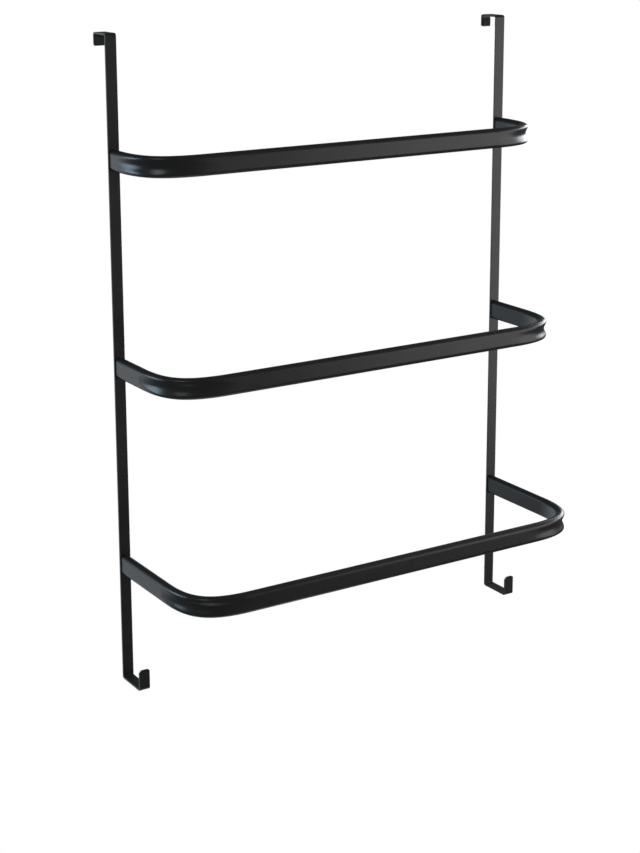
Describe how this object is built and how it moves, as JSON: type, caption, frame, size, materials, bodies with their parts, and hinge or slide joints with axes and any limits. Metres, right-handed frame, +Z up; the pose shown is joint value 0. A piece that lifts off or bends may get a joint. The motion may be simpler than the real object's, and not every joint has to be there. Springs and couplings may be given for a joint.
{
  "type": "over-door towel bar",
  "caption": "Over-door towel rack: flat steel strips hook over a door's top and carry U-shaped flat-oval rails, each deeper than the one above, with a small hook at each foot.",
  "frame": {"origin": "halfway between the two strips, where their back plane meets the underside of the hooks' top webs, which rests on the door's top edge", "axes": "+X across the door to the right as seen from the room, +Y into the door, +Z up along the strips; the rails stand out towards -Y"},
  "size_m": [0.5, 0.192, 0.688],
  "materials": {
    "black_powder_coat": "satin fine-texture black powder coat on mild steel",
    "black_oxide_steel": "black oxide on socket countersunk screws",
    "zinc_plated_steel": "bright zinc plate",
    "black_foam": "closed-cell self-adhesive foam, matte",
    "black_rubber": "moulded rubber bumper, dull satin"
  },
  "bodies": {
    "root": {"left_strip": "black_powder_coat", "left_front_pad": "black_foam", "left_back_pad": "black_foam", "left_bumper": "black_rubber", "right_strip": "black_powder_coat", "right_front_pad": "black_foam", "right_back_pad": "black_foam", "right_bumper": "black_rubber", "top_rail": "black_powder_coat", "top_rail_screws": "black_oxide_steel", "top_left_plug": "zinc_plated_steel", "top_right_plug": "zinc_plated_steel", "middle_rail": "black_powder_coat", "middle_rail_screws": "black_oxide_steel", "middle_left_plug": "zinc_plated_steel", "middle_right_plug": "zinc_plated_steel", "bottom_rail": "black_powder_coat", "bottom_rail_screws": "black_oxide_steel", "bottom_left_plug": "zinc_plated_steel", "bottom_right_plug": "zinc_plated_steel"}
  },
  "joints": []
}
